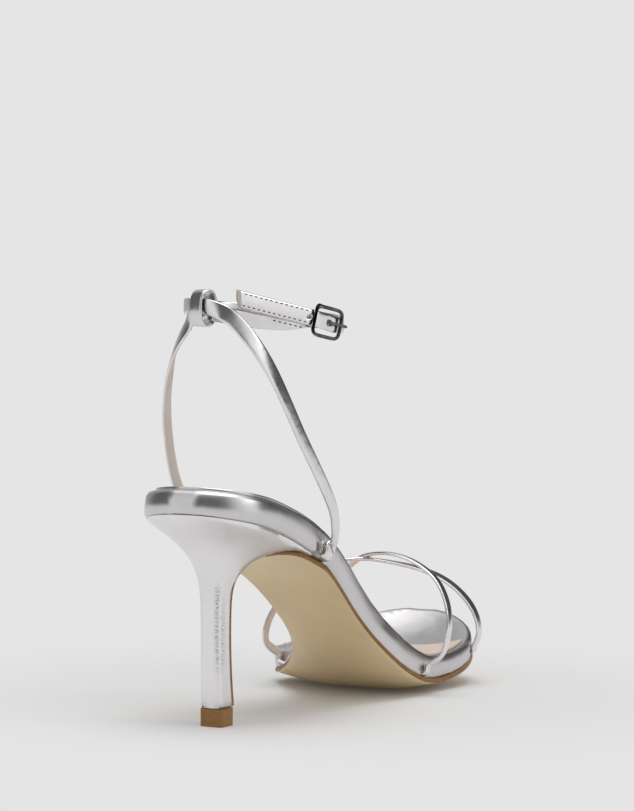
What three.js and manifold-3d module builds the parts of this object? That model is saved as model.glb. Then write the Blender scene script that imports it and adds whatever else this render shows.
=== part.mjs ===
// A strappy sandal for the right foot, on a slim high heel.
// Millimetres. +X runs to the toe, +Y to the inner side (the wearer's left), +Z up.
// The origin is the centre of the heel's walking face, on the floor.

import * as THREE from 'three';
import { mergeVertices } from 'three/addons/utils/BufferGeometryUtils.js';
import Module from 'manifold-3d';

const wasm = await Module();
wasm.setup();

// Driving dimensions of the last and the sole

const lastLength = 214;          // back of the seat to the toe, along the floor
const seatBehindTip = 26.8;      // the seat's back end behind the heel's centre
const heelHeight = 77.6;         // floor to the underside of the footbed, at its back end
const toeSpring = 15;            // how far the toe end curves up off the floor
const ballWidth = 72;            // the sole at its widest
const ballCrown = 3.8;           // how far the edges rise over the middle, at the ball
const toeSwing = 3.5;            // the toe end's shift to the inner side
const seatRounding = 25;         // length of the rounded back of the seat
const toeRounding = 40;          // length of the rounded toe
const footbedThickness = 11;     // the wrapped footbed's band, at the waist
const seatCup = 1.2;             // how far the footbed's top is dished
const outsoleThickness = 1.8;
const flapThickness = 1.25;      // the outsole where it runs down the heel's breast
const sockThickness = 1;
const sockMargin = 3;            // wrapped border left around the sock
const sockFront = 157;           // the sock's straight front edge, ahead of the heel
const fitGap = 0.3;              // clearance between pieces that are glued or seated

// Driving dimensions of the heel

const tipHeight = 6.5;
const tipLength = 8.8;
const tipWidth = 9.2;
const tipRounding = 1;
const stemRoundness = 4;         // power of the stem's rounded back corners
const heelInset = 0.8;           // the heel's rim inside the footbed's lower edge
const earThickness = 0.8;        // the heel's ears at their thin front end

// Driving dimensions of the straps

const slingWidth = 5.8;
const slingThickness = 1.6;
const slingReach = 64.8;         // the sling's exits, ahead of the seat's back
const toeStrapWidth = 4.3;
const toeStrapThickness = 1.5;
const toeArch = 52;              // the toe straps' top over their exits
const ankleWidth = 6;
const ankleThickness = 1.3;
const ankleDepth = 72;           // the ankle strap's ring, front to back
const ankleSpan = 60;            // and from side to side
const ankleHeight = 150;         // floor to the middle of the straps at the back of the ankle
const tuckDepth = 9;             // strap end lasted under the footbed

// Driving dimensions of the loop and the buckle

const loopWidth = 6.5;
const loopThickness = 1.2;
const loopHollowHeight = 11.2;
const buckleLength = 12.4;
const buckleHeight = 12.0;
const buckleRod = 1.5;           // diameter of the frame's rod
const buckleCorner = 2.2;
const prongRod = 1.3;
const prongOverhang = 1.2;       // the prong's end past the frame
const bailRod = 1.3;             // rod that holds the free end down behind the buckle
const bailReach = 2.5;           // how far it lies behind the rear rod
const foldLength = 8;            // the strap's end, folded back behind the buckle's rod
const tailLength = 39.5;          // free end of the strap beyond the buckle's middle
const tailSlant = 0.35;          // the free end's slanted cut, length over width
const punchedHole = 1.5;         // diameter of the hole in the free end
const punchedReach = 9.6;        // its middle behind the buckle's middle

// Shape of the last, front to back. along is a share of lastLength from the seat's
// back, rise of heelHeight, spring of toeSpring, inner and outer of ballWidth,
// board of footbedThickness, crown of ballCrown.

const lastSections = [
  { along: 0.00, rise: 1.000, spring: 0.00, inner: 0.358, outer: 0.343, board: 0.82, crown: 0.00 },
  { along: 0.10, rise: 0.932, spring: 0.00, inner: 0.356, outer: 0.343, board: 0.90, crown: 0.00 },
  { along: 0.20, rise: 0.848, spring: 0.00, inner: 0.325, outer: 0.340, board: 0.96, crown: 0.00 },
  { along: 0.30, rise: 0.742, spring: 0.00, inner: 0.272, outer: 0.323, board: 1.00, crown: 0.00 },
  { along: 0.36, rise: 0.650, spring: 0.00, inner: 0.224, outer: 0.305, board: 1.01, crown: 0.00 },
  { along: 0.42, rise: 0.517, spring: 0.00, inner: 0.180, outer: 0.301, board: 1.01, crown: 0.02 },
  { along: 0.48, rise: 0.345, spring: 0.00, inner: 0.158, outer: 0.317, board: 0.99, crown: 0.46 },
  { along: 0.53, rise: 0.211, spring: 0.00, inner: 0.212, outer: 0.351, board: 0.95, crown: 0.90 },
  { along: 0.58, rise: 0.110, spring: 0.00, inner: 0.306, outer: 0.383, board: 0.91, crown: 1.00 },
  { along: 0.62, rise: 0.055, spring: 0.00, inner: 0.404, outer: 0.403, board: 0.88, crown: 1.00 },
  { along: 0.66, rise: 0.019, spring: 0.00, inner: 0.503, outer: 0.411, board: 0.86, crown: 1.00 },
  { along: 0.705, rise: 0.000, spring: 0.00, inner: 0.590, outer: 0.414, board: 0.83, crown: 1.00 },
  { along: 0.75, rise: 0.000, spring: 0.00, inner: 0.586, outer: 0.420, board: 0.82, crown: 1.00 },
  { along: 0.80, rise: 0.000, spring: 0.085, inner: 0.515, outer: 0.442, board: 0.81, crown: 1.00 },
  { along: 0.87, rise: 0.000, spring: 0.325, inner: 0.462, outer: 0.455, board: 0.77, crown: 1.00 },
  { along: 0.93, rise: 0.000, spring: 0.612, inner: 0.462, outer: 0.455, board: 0.73, crown: 1.00 },
  { along: 1.00, rise: 0.000, spring: 1.000, inner: 0.462, outer: 0.455, board: 0.67, crown: 1.00 },
];

// A smooth curve through a table's column that doesn't overshoot between its rows

function columnCurve(rows, key, column) {
  const n = rows.length;
  const x = rows.map((row) => row[key]);
  const y = rows.map((row) => row[column]);
  const chord = x.slice(1).map((right, i) => (y[i + 1] - y[i]) / (right - x[i]));
  const slope = x.map((_, i) => {
    if (i === 0) return chord[0];
    if (i === n - 1) return chord[n - 2];
    if (chord[i - 1] * chord[i] <= 0) return 0;
    const before = x[i] - x[i - 1];
    const after = x[i + 1] - x[i];
    const weightBefore = (2 * after + before) / (3 * (before + after));
    return 1 / (weightBefore / chord[i - 1] + (1 - weightBefore) / chord[i]);
  });
  return (at) => {
    let i = 0;
    while (i < n - 2 && at > x[i + 1]) i += 1;
    const span = x[i + 1] - x[i];
    const t = THREE.MathUtils.clamp((at - x[i]) / span, 0, 1);
    const u = 1 - t;
    return y[i] * u * u * (1 + 2 * t) + y[i + 1] * t * t * (3 - 2 * t)
      + slope[i] * span * t * u * u - slope[i + 1] * span * t * t * u;
  };
}

const lastColumn = {};
for (const column of ['rise', 'spring', 'inner', 'outer', 'board', 'crown']) {
  lastColumn[column] = columnCurve(lastSections, 'along', column);
}

const seatBack = -seatBehindTip;
const toeEnd = seatBack + lastLength;
const alongAt = (x) => (x - seatBack) / lastLength;
const treadLevel = outsoleThickness + fitGap;

// Height of the footbed's underside on its centre line

function undersideHeight(x) {
  const along = alongAt(x);
  return treadLevel + lastColumn.rise(along) * (heelHeight - treadLevel)
    + lastColumn.spring(along) * toeSpring;
}

// The sole's section at x: a point at height h over the centre line's underside

const slopeStep = 0.05;

function sectionFrame(x) {
  const fall = (undersideHeight(x + slopeStep) - undersideHeight(x - slopeStep)) / (2 * slopeStep);
  const length = Math.hypot(1, fall);
  return { x, z: undersideHeight(x), normalX: -fall / length, normalZ: 1 / length };
}

function overSection(frame, y, h) {
  return new THREE.Vector3(frame.x + h * frame.normalX, y, frame.z + h * frame.normalZ);
}

// Outline of the sole: the rounded ends narrow its half widths

const seatRoundPower = 2.2;
const toeRoundPower = 2.3;
const endFullness = 0.985;

function endRounding(x) {
  const intoSeat = THREE.MathUtils.clamp((seatBack + seatRounding - x) / seatRounding, 0, 1);
  const intoToe = THREE.MathUtils.clamp((x - toeEnd + toeRounding) / toeRounding, 0, 1);
  return Math.sqrt(1 - Math.pow(endFullness * intoSeat, seatRoundPower))
    * Math.sqrt(1 - Math.pow(endFullness * intoToe, toeRoundPower));
}

const swingStart = 0.6;

function swing(x) {
  const share = Math.max(0, (alongAt(x) - swingStart) / (1 - swingStart));
  return toeSwing * share * share;
}

function edgeAt(x, side) {
  const column = side > 0 ? lastColumn.inner : lastColumn.outer;
  return side * ballWidth * column(alongAt(x)) * endRounding(x) + swing(x);
}

// Stations along the sole: close together round the ends, even between them

const endShares = [1, 0.975, 0.93, 0.87, 0.79, 0.69, 0.56, 0.4, 0.2];
const bodySteps = 20;
const bodyStart = seatBack + seatRounding;
const bodyEnd = toeEnd - toeRounding;
const stations = [
  ...endShares.map((share) => seatBack + seatRounding * (1 - share)),
  ...Array.from({ length: bodySteps + 1 }, (_, i) => bodyStart + (bodyEnd - bodyStart) * i / bodySteps),
  ...endShares.map((share) => toeEnd - toeRounding * (1 - share)).reverse(),
];
const earSteps = 5;
const earStation = endShares.length + earSteps;
const earEnd = stations[earStation];

// The outline's point at a station, moved in by an inset along its own normal

function outlinePoint(station, side, inset) {
  const last = stations.length - 1;
  const x = stations[station];
  const y = edgeAt(x, side);
  const from = station > 0
    ? new THREE.Vector2(stations[station - 1], edgeAt(stations[station - 1], side))
    : new THREE.Vector2(x, swing(x));
  const to = station < last
    ? new THREE.Vector2(stations[station + 1], edgeAt(stations[station + 1], side))
    : new THREE.Vector2(x, swing(x));
  const run = to.sub(from).normalize();
  return new THREE.Vector2(x + side * inset * run.y, y - side * inset * run.x);
}

// Closed surface of a bent box: point(i, j, k) places each outer grid point

function bentBox(countI, countJ, countK, point) {
  const vertices = [];
  const indices = [];
  const seen = new Map();
  const vertexAt = (i, j, k) => {
    const key = (i * (countJ + 1) + j) * (countK + 1) + k;
    if (!seen.has(key)) {
      seen.set(key, vertices.length / 3);
      vertices.push(...point(i, j, k).toArray());
    }
    return seen.get(key);
  };
  const quad = (a, b, c, d) => indices.push(a, b, c, a, c, d);
  for (let i = 0; i < countI; i += 1) {
    for (let j = 0; j < countJ; j += 1) {
      quad(vertexAt(i, j, 0), vertexAt(i, j + 1, 0), vertexAt(i + 1, j + 1, 0), vertexAt(i + 1, j, 0));
      quad(vertexAt(i, j, countK), vertexAt(i + 1, j, countK),
        vertexAt(i + 1, j + 1, countK), vertexAt(i, j + 1, countK));
    }
    for (let k = 0; k < countK; k += 1) {
      quad(vertexAt(i, 0, k), vertexAt(i + 1, 0, k), vertexAt(i + 1, 0, k + 1), vertexAt(i, 0, k + 1));
      quad(vertexAt(i, countJ, k), vertexAt(i, countJ, k + 1),
        vertexAt(i + 1, countJ, k + 1), vertexAt(i + 1, countJ, k));
    }
  }
  for (let j = 0; j < countJ; j += 1) {
    for (let k = 0; k < countK; k += 1) {
      quad(vertexAt(0, j, k), vertexAt(0, j, k + 1), vertexAt(0, j + 1, k + 1), vertexAt(0, j + 1, k));
      quad(vertexAt(countI, j, k), vertexAt(countI, j + 1, k),
        vertexAt(countI, j + 1, k + 1), vertexAt(countI, j, k + 1));
    }
  }
  return facingOut(vertices, indices);
}

// An indexed geometry whose triangles all face outward

function facingOut(vertices, indices) {
  const a = new THREE.Vector3();
  const b = new THREE.Vector3();
  const c = new THREE.Vector3();
  let volume = 0;
  for (let i = 0; i < indices.length; i += 3) {
    a.fromArray(vertices, 3 * indices[i]);
    b.fromArray(vertices, 3 * indices[i + 1]);
    c.fromArray(vertices, 3 * indices[i + 2]);
    volume += a.dot(b.cross(c));
  }
  if (volume < 0) indices.reverse();
  const geometry = new THREE.BufferGeometry();
  geometry.setAttribute('position', new THREE.Float32BufferAttribute(vertices, 3));
  geometry.setIndex(indices);
  return geometry;
}

// Solids for cutting and joining, and back to a geometry

function solidOf(geometry) {
  const bare = geometry.clone();
  bare.deleteAttribute('normal');
  bare.deleteAttribute('uv');
  const merged = mergeVertices(bare, 1e-5);
  return new wasm.Manifold(new wasm.Mesh({
    numProp: 3,
    vertProperties: new Float32Array(merged.attributes.position.array),
    triVerts: new Uint32Array(merged.index.array),
  }));
}

function geometryOf(solid) {
  const mesh = solid.getMesh();
  const geometry = new THREE.BufferGeometry();
  geometry.setAttribute('position', new THREE.BufferAttribute(mesh.vertProperties, 3));
  geometry.setIndex(new THREE.BufferAttribute(mesh.triVerts, 1));
  return geometry;
}

// Flat strips: a rounded-edge section carried along a route. Each frame has the
// centre, the direction across the strip and the direction its outer face looks.

const edgeShare = 0.3;           // the rounded edge's depth, as a share of the thickness

function stripOutline(width, thickness) {
  const w = width / 2;
  const t = thickness / 2;
  const e = thickness * edgeShare;
  return [
    [w, e - t], [w, t - e], [w - e, t], [e - w, t],
    [-w, t - e], [-w, e - t], [e - w, -t], [w - e, -t],
  ];
}

function sweep(frames, outline, closed = false) {
  const vertices = [];
  const indices = [];
  const size = outline.length;
  for (const frame of frames) {
    for (const [across, out] of outline) {
      const p = frame.centre.clone().addScaledVector(frame.across, across).addScaledVector(frame.out, out);
      vertices.push(...p.toArray());
    }
  }
  const rings = closed ? frames.length : frames.length - 1;
  for (let i = 0; i < rings; i += 1) {
    const next = (i + 1) % frames.length;
    for (let j = 0; j < size; j += 1) {
      const here = [i * size + j, i * size + (j + 1) % size];
      const there = [next * size + j, next * size + (j + 1) % size];
      indices.push(here[0], there[0], there[1], here[0], there[1], here[1]);
    }
  }
  if (!closed) {
    const end = (frames.length - 1) * size;
    for (let j = 1; j < size - 1; j += 1) {
      indices.push(0, j, j + 1, end, end + j + 1, end + j);
    }
  }
  return facingOut(vertices, indices);
}

// Materials

const silverColour = 0xb9bbc0;
const materials = {
  silver: new THREE.MeshStandardMaterial({ color: silverColour, roughness: 0.28, metalness: 0.9 }),
  tan: new THREE.MeshStandardMaterial({ color: 0xb5a27e, roughness: 0.6, metalness: 0 }),
  brown: new THREE.MeshStandardMaterial({ color: 0x80602f, roughness: 0.5, metalness: 0 }),
  peach: new THREE.MeshStandardMaterial({ color: 0xe8d2c2, roughness: 0.7, metalness: 0 }),
  nickel: new THREE.MeshStandardMaterial({ color: 0x6a675f, roughness: 0.25, metalness: 1 }),
};

const sandal = new THREE.Group();

function addPiece(name, geometry, material) {
  const mesh = new THREE.Mesh(geometry, material);
  mesh.name = name;
  sandal.add(mesh);
}

// Section across the sole: shares of the half width from the outer edge to the inner,
// flat in the middle and rising to the edges by the crown.

const acrossShares = [-1, -0.82, -0.6, -0.4, -0.15, 0.15, 0.4, 0.6, 0.82, 1];
const flatShare = 0.31;
const crownPower = 1.6;

// How far out a point lies: 0 on the centre line, 1 on the outline

function outwardShare(x, y) {
  const side = y > swing(x) ? 1 : -1;
  const column = side > 0 ? lastColumn.inner : lastColumn.outer;
  const across = (y - swing(x)) / (ballWidth * column(alongAt(x)));
  const rounding = endRounding(x);
  return Math.min(1, Math.sqrt(across * across + 1 - rounding * rounding));
}

function crownAt(x, y) {
  const share = Math.max(0, (outwardShare(x, y) - flatShare) / (1 - flatShare));
  return ballCrown * lastColumn.crown(alongAt(x)) * Math.pow(share, crownPower);
}

// Footbed: a board wrapped in silver leather. Its band leans out from the lower edge
// and rounds over into the dished top. up and inset are shares of its thickness.

const bandProfile = [
  { up: 0.00, inset: 0.10 },
  { up: 0.10, inset: 0.03 },
  { up: 0.45, inset: 0.00 },
  { up: 0.78, inset: 0.01 },
  { up: 0.93, inset: 0.07 },
  { up: 1.00, inset: 0.19 },
];

function footbedTop(x, y) {
  return footbedThickness * lastColumn.board(alongAt(x)) - seatCup * (1 - outwardShare(x, y) ** 2);
}

function footbedPoint(station, across, level) {
  const row = bandProfile[level];
  const inset = row.inset * footbedThickness;
  const outer = outlinePoint(station, -1, inset);
  const inner = outlinePoint(station, 1, inset);
  const at = outer.lerp(inner, (across + 1) / 2);
  const height = crownAt(at.x, at.y) + row.up * footbedTop(at.x, at.y);
  return overSection(sectionFrame(at.x), at.y, height);
}

const topLevel = bandProfile.length - 1;
let footbedSolid = solidOf(bentBox(stations.length - 1, acrossShares.length - 1, topLevel,
  (i, j, k) => footbedPoint(i, acrossShares[j], k)));

// Heel: rings from the tip up to the seat. A row per ring. back columns climb the
// stem's back and flare to the seat's rim: rise is a share of the way up and flare of
// the way out. front columns follow the breast's edge: ahead is a share of the ear's
// reach, half of the seat's half width there and high of the ear's height. girth and
// depth are the stem's own half width and back, as shares of the tip's sizes.

const heelRings = [
  { rise: 0.000, flare: 0.00, depth: 1.02, girth: 0.98, ahead: 0.085, half: 0.216, high: 0.000 },
  { rise: 0.074, flare: 0.00, depth: 1.16, girth: 0.93, ahead: 0.068, half: 0.207, high: 0.102 },
  { rise: 0.219, flare: 0.00, depth: 1.33, girth: 0.90, ahead: 0.042, half: 0.200, high: 0.297 },
  { rise: 0.363, flare: 0.00, depth: 1.40, girth: 0.89, ahead: 0.028, half: 0.198, high: 0.493 },
  { rise: 0.508, flare: 0.00, depth: 1.45, girth: 0.91, ahead: 0.020, half: 0.208, high: 0.689 },
  { rise: 0.573, flare: 0.00, depth: 1.47, girth: 0.95, ahead: 0.017, half: 0.222, high: 0.777 },
  { rise: 0.640, flare: 0.01, depth: 1.47, girth: 1.00, ahead: 0.023, half: 0.256, high: 0.865 },
  { rise: 0.680, flare: 0.04, depth: 1.47, girth: 1.00, ahead: 0.042, half: 0.299, high: 0.920 },
  { rise: 0.730, flare: 0.09, depth: 1.47, girth: 1.00, ahead: 0.085, half: 0.365, high: 0.982 },
  { rise: 0.783, flare: 0.17, depth: 1.47, girth: 1.00, ahead: 0.149, half: 0.473, high: 1.041 },
  { rise: 0.826, flare: 0.27, depth: 1.47, girth: 1.00, ahead: 0.223, half: 0.594, high: 1.076 },
  { rise: 0.870, flare: 0.40, depth: 1.47, girth: 1.00, ahead: 0.315, half: 0.717, high: 1.096 },
  { rise: 0.909, flare: 0.57, depth: 1.47, girth: 1.00, ahead: 0.465, half: 0.834, high: 1.102 },
  { rise: 0.942, flare: 0.73, depth: 1.47, girth: 1.00, ahead: 0.648, half: 0.915, high: 1.088 },
  { rise: 0.975, flare: 0.91, depth: 1.47, girth: 1.00, ahead: 0.823, half: 0.970, high: 1.051 },
  { rise: 1.000, flare: 1.00, depth: 1.47, girth: 1.00, ahead: 1.000, half: 1.000, high: 1.000 },
];

const stemBase = tipHeight + fitGap;

// Height of the heel's seat, under the footbed

function seatHeight(x) {
  return undersideHeight(x) - fitGap;
}

const earHeight = seatHeight(earEnd) - earThickness;

// A corner of the breast at a ring, on the outer (-1) or the inner (1) side

function breastCorner(ring, side) {
  const row = heelRings[ring];
  const reach = Math.abs(outlinePoint(earStation, side, heelInset).y);
  const mean = (Math.abs(edgeAt(earEnd, -1)) + Math.abs(edgeAt(earEnd, 1))) / 2 - heelInset;
  const half = row.half * THREE.MathUtils.lerp(mean, reach, row.ahead);
  const height = THREE.MathUtils.lerp(stemBase, earHeight, row.high);
  return new THREE.Vector3(row.ahead * earEnd, side * half, height);
}

// A point of the heel's side or back: column is the station of the seat's rim that
// the column climbs to

function heelColumn(ring, column, side) {
  const row = heelRings[ring];
  const corner = breastCorner(ring, side);
  const rim = outlinePoint(column, side, heelInset);
  const rimHeight = seatHeight(rim.x);
  const stemHalf = row.girth * tipWidth / 2;
  const stemBack = -row.depth * tipLength / 2;
  const sideEnd = endShares.length;
  const stemMiddle = stemBack / 2;
  const stem = new THREE.Vector2();
  if (column >= sideEnd) {
    const share = (column - sideEnd) / (earStation - sideEnd);
    const forward = THREE.MathUtils.lerp(stemMiddle, row.ahead * earEnd, share * (1 - row.flare));
    stem.set(forward, side * stemHalf);
  } else {
    const turn = (Math.PI / 2) * (1 - column / sideEnd);
    const squareness = 2 / stemRoundness;
    stem.set(
      stemMiddle + (stemBack - stemMiddle) * Math.pow(Math.sin(turn), squareness),
      side * stemHalf * Math.pow(Math.cos(turn), squareness),
    );
  }
  const flared = new THREE.Vector3(
    THREE.MathUtils.lerp(stem.x, rim.x, row.flare),
    THREE.MathUtils.lerp(stem.y, rim.y, row.flare),
    THREE.MathUtils.lerp(stemBase, rimHeight, row.rise),
  );
  const share = Math.max(0, (column - sideEnd) / (earStation - sideEnd));
  const earedAhead = corner.x * THREE.MathUtils.lerp(1, rim.x / earEnd, row.flare);
  const eared = new THREE.Vector3(
    earedAhead,
    corner.y * Math.abs(rim.y) / Math.abs(outlinePoint(earStation, side, heelInset).y),
    Math.min(
      stemBase + (corner.z - stemBase) * (rimHeight - stemBase) / (earHeight - stemBase),
      seatHeight(earedAhead),
    ),
  );
  return flared.lerp(eared, share * share);
}

function heelGeometry() {
  const vertices = [];
  const indices = [];
  const rings = heelRings.length;
  const perSide = earStation + 1;
  const size = 2 * perSide;
  for (let ring = 0; ring < rings; ring += 1) {
    for (let i = 0; i < size; i += 1) {
      const side = i < perSide ? -1 : 1;
      const column = i < perSide ? earStation - i : i - perSide;
      const point = column === earStation && ring < rings - 1
        ? breastCorner(ring, side)
        : heelColumn(ring, column, side);
      vertices.push(...point.toArray());
    }
  }
  for (let ring = 0; ring < rings - 1; ring += 1) {
    for (let i = 0; i < size; i += 1) {
      const next = (i + 1) % size;
      const low = ring * size;
      const high = low + size;
      indices.push(low + i, low + next, high + next, low + i, high + next, high + i);
    }
  }
  const top = (rings - 1) * size;
  for (let i = 0; i < perSide - 1; i += 1) {
    const far = size - 1 - i;
    indices.push(i, far, far - 1, i, far - 1, i + 1);
    indices.push(top + i, top + far - 1, top + far, top + i, top + i + 1, top + far - 1);
  }
  return facingOut(vertices, indices);
}

// Heel tip: a rounded block under the stem and the end of the flap

function roundedRectangle(length, width, radius) {
  const shape = new THREE.Shape();
  const l = length / 2;
  const w = width / 2;
  shape.moveTo(-l + radius, -w);
  shape.lineTo(l - radius, -w);
  shape.absarc(l - radius, -w + radius, radius, -Math.PI / 2, 0);
  shape.lineTo(l, w - radius);
  shape.absarc(l - radius, w - radius, radius, 0, Math.PI / 2);
  shape.lineTo(-l + radius, w);
  shape.absarc(-l + radius, w - radius, radius, Math.PI / 2, Math.PI);
  shape.lineTo(-l, -w + radius);
  shape.absarc(-l + radius, -w + radius, radius, Math.PI, 1.5 * Math.PI);
  return shape;
}

const tip = new THREE.ExtrudeGeometry(roundedRectangle(tipLength, tipWidth, tipRounding),
  { depth: tipHeight, bevelEnabled: false, curveSegments: 4 });
addPiece('heel_tip', tip, materials.brown);

// Outsole: one sheet from the toe, over the tread and the shank, then bent down the
// heel's breast to the tip. Each step of its path has a point of the upper face, the
// direction down through the sheet, and the two edges.

function outsolePath() {
  const path = [];
  for (let station = stations.length - 1; station > earStation; station -= 1) {
    const x = stations[station];
    const frame = sectionFrame(x);
    path.push({
      at: overSection(frame, 0, -fitGap),
      down: new THREE.Vector3(-frame.normalX, 0, -frame.normalZ),
      outer: edgeAt(x, -1),
      inner: edgeAt(x, 1),
      crown: (y) => crownAt(x, y),
      thickness: outsoleThickness,
    });
  }
  const breast = heelRings.map((_, ring) => breastCorner(ring, -1)).reverse();
  breast.forEach((corner, i) => {
    const before = breast[Math.max(0, i - 1)];
    const after = breast[Math.min(breast.length - 1, i + 1)];
    const run = new THREE.Vector2(after.x - before.x, after.z - before.z).normalize();
    const down = new THREE.Vector3(-run.y, 0, run.x);
    const ring = heelRings.length - 1 - i;
    path.push({
      at: new THREE.Vector3(corner.x, 0, corner.z).addScaledVector(down, fitGap),
      down,
      outer: corner.y,
      inner: breastCorner(ring, 1).y,
      crown: () => 0,
      thickness: THREE.MathUtils.lerp(flapThickness, outsoleThickness, corner.x / earEnd),
    });
  });
  return path;
}

const solePath = outsolePath();

function outsoleShape(room) {
  return bentBox(solePath.length - 1, acrossShares.length - 1, 1, (i, j, k) => {
    const step = solePath[i];
    const y = THREE.MathUtils.lerp(step.outer - room, step.inner + room, (acrossShares[j] + 1) / 2);
    const depth = k > 0 ? step.thickness + room : -room;
    return step.at.clone().setY(y).addScaledVector(step.down, depth - step.crown(y));
  });
}

addPiece('outsole', outsoleShape(0), materials.tan);
const heelSolid = solidOf(heelGeometry()).subtract(solidOf(outsoleShape(fitGap)));
const heelBody = heelSolid.decompose().sort((a, b) => b.volume() - a.volume())[0];
addPiece('heel', geometryOf(heelBody), materials.silver);

// Sock: a thin sheet glued on the footbed's top inside a wrapped border, cut straight
// across in front

const sockStations = stations.map((x, i) => i).filter((i) => stations[i] < sockFront);
const sockSteps = sockStations.length;

function sockPoint(step, across, level) {
  const station = Math.min(step, sockSteps - 1);
  const outer = outlinePoint(station, -1, sockMargin);
  const inner = outlinePoint(station, 1, sockMargin);
  if (step === sockSteps) {
    outer.set(sockFront, edgeAt(sockFront, -1) + sockMargin);
    inner.set(sockFront, edgeAt(sockFront, 1) - sockMargin);
  }
  const at = outer.lerp(inner, (across + 1) / 2);
  const height = crownAt(at.x, at.y) + footbedTop(at.x, at.y) + fitGap + level * sockThickness;
  return overSection(sectionFrame(at.x), at.y, height);
}

addPiece('insole_sock', bentBox(sockSteps, acrossShares.length - 1, 1,
  (i, j, k) => sockPoint(i, acrossShares[j], k)), materials.peach);

// Straps. A route is a list of steps with at, the strip's middle, and out, the way
// its outer face looks. Between steps the path is a smooth curve.

const stepsPerPoint = 2;

function routeFrames(route) {
  const curve = new THREE.CatmullRomCurve3(route.map((step) => step.at), false, 'centripetal');
  const frames = [];
  const count = (route.length - 1) * stepsPerPoint;
  for (let i = 0; i <= count; i += 1) {
    const at = i / stepsPerPoint;
    const from = Math.min(Math.floor(at), route.length - 2);
    const out = route[from].out.clone().lerp(route[from + 1].out, at - from);
    const tangent = curve.getTangent(i / count);
    out.addScaledVector(tangent, -out.dot(tangent)).normalize();
    const across = new THREE.Vector3().crossVectors(tangent, out);
    frames.push({ centre: curve.getPoint(i / count), out, across });
  }
  return frames;
}

// The lasted end of a strap: flat under the footbed, then up against its band

const bandRest = 0.45;           // share of the band that the strap lies against

function lastedEnd(x, side, thickness) {
  const frame = sectionFrame(x);
  const edge = edgeAt(x, side);
  const up = new THREE.Vector3(frame.normalX, 0, frame.normalZ);
  const outward = new THREE.Vector3(0, side, 0);
  const lift = (thickness + fitGap) / 2;
  const under = (inset) => {
    const y = edge - side * inset;
    return overSection(frame, y, crownAt(x, y) + lift);
  };
  const clear = edge + side * (fitGap + thickness / 2);
  const edgeHeight = crownAt(x, edge);
  const bend = (degrees) => {
    const turn = THREE.MathUtils.degToRad(degrees);
    const y = clear - side * thickness * (1 - Math.sin(turn));
    return {
      at: overSection(frame, y, edgeHeight + lift + thickness * (1 - Math.cos(turn))),
      out: outward.clone().multiplyScalar(Math.sin(turn)).addScaledVector(up, -Math.cos(turn)),
    };
  };
  return [
    { at: under(tuckDepth), out: up.clone().negate() },
    bend(0),
    bend(45),
    bend(90),
    {
      at: overSection(frame, clear, edgeHeight + bandRest * footbedTop(x, edge)),
      out: outward,
    },
  ];
}

// Toe straps: up is a share of the toe arch over the tread

const rearToeStrap = [
  { along: 0.668, aside: -0.500, up: 0.260 },
  { along: 0.664, aside: -0.542, up: 0.440 },
  { along: 0.672, aside: -0.532, up: 0.575 },
  { along: 0.683, aside: -0.500, up: 0.683 },
  { along: 0.697, aside: -0.425, up: 0.823 },
  { along: 0.707, aside: -0.312, up: 0.923 },
  { along: 0.714, aside: -0.201, up: 0.977 },
  { along: 0.720, aside: -0.097, up: 0.998 },
  { along: 0.730, aside: 0.007, up: 0.987 },
  { along: 0.740, aside: 0.078, up: 0.963 },
  { along: 0.757, aside: 0.160, up: 0.913 },
  { along: 0.779, aside: 0.257, up: 0.825 },
  { along: 0.803, aside: 0.375, up: 0.662 },
  { along: 0.821, aside: 0.479, up: 0.469 },
  { along: 0.830, aside: 0.532, up: 0.325 },
];
const frontToeStrap = [
  { along: 0.880, aside: -0.442, up: 0.327 },
  { along: 0.878, aside: -0.435, up: 0.460 },
  { along: 0.865, aside: -0.392, up: 0.608 },
  { along: 0.840, aside: -0.299, up: 0.760 },
  { along: 0.810, aside: -0.188, up: 0.852 },
  { along: 0.775, aside: -0.060, up: 0.906 },
  { along: 0.747, aside: 0.047, up: 0.935 },
  { along: 0.716, aside: 0.158, up: 0.935 },
  { along: 0.686, aside: 0.271, up: 0.875 },
  { along: 0.656, aside: 0.382, up: 0.744 },
  { along: 0.631, aside: 0.476, up: 0.560 },
  { along: 0.621, aside: 0.511, up: 0.410 },
  { along: 0.622, aside: 0.512, up: 0.287 },
];
const toeStrapExits = {
  rear: { outer: 0.652, inner: 0.832 },
  front: { outer: 0.885, inner: 0.637 },
};
const footMiddle = 0.045;        // the foot's middle inside the toe straps, shares
const footCore = 0.38;           // of ballWidth and of toeArch

function toeStrapRoute(rows, exits) {
  const atShare = (along) => seatBack + along * lastLength;
  const middle = new THREE.Vector3(0, footMiddle * ballWidth, treadLevel + footCore * toeArch);
  const free = rows.map((row) => {
    const at = new THREE.Vector3(atShare(row.along), row.aside * ballWidth, treadLevel + row.up * toeArch);
    return { at, out: at.clone().sub(middle).setX(0).normalize() };
  });
  return [
    ...lastedEnd(atShare(exits.outer), -1, toeStrapThickness),
    ...free,
    ...lastedEnd(atShare(exits.inner), 1, toeStrapThickness).reverse(),
  ];
}

const pocketOutline = (width, thickness) => stripOutline(width + 2 * fitGap, thickness + 2 * fitGap);

function toeStrap(rows, exits) {
  const frames = routeFrames(toeStrapRoute(rows, exits));
  return {
    solid: solidOf(sweep(frames, stripOutline(toeStrapWidth, toeStrapThickness))),
    room: solidOf(sweep(frames, pocketOutline(toeStrapWidth, toeStrapThickness))),
  };
}

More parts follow.
